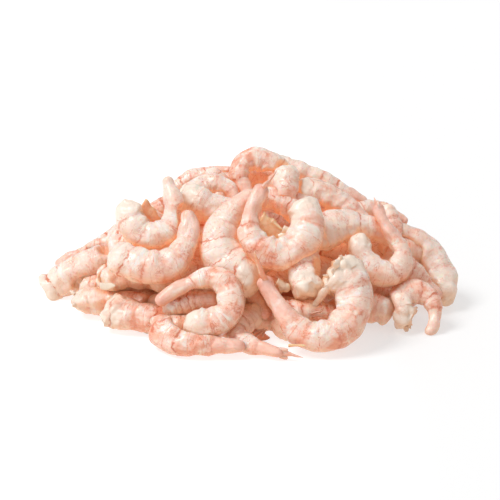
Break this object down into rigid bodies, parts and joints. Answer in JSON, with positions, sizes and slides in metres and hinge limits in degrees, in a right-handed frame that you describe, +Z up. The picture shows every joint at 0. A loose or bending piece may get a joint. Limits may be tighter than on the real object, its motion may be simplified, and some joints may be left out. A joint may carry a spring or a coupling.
{
  "type": "cooked shrimp heap",
  "caption": "loose heap of small cooked, peeled shrimp, each curled and tapering to its tail, lying as it was tipped out",
  "frame": {"origin": "on the table the heap lies on, under its peak, in the middle of the heap's core", "axes": "+Z up, -Y towards the front of the heap as pictured, +X to the viewer's right"},
  "size_m": [0.1132, 0.098, 0.0427],
  "materials": {
    "shrimp_flesh": "moist cooked flesh, cream white with salmon pink streaks, soft sheen"
  },
  "bodies": {
    "root": {"shrimp_heap": "shrimp_flesh"}
  },
  "joints": []
}
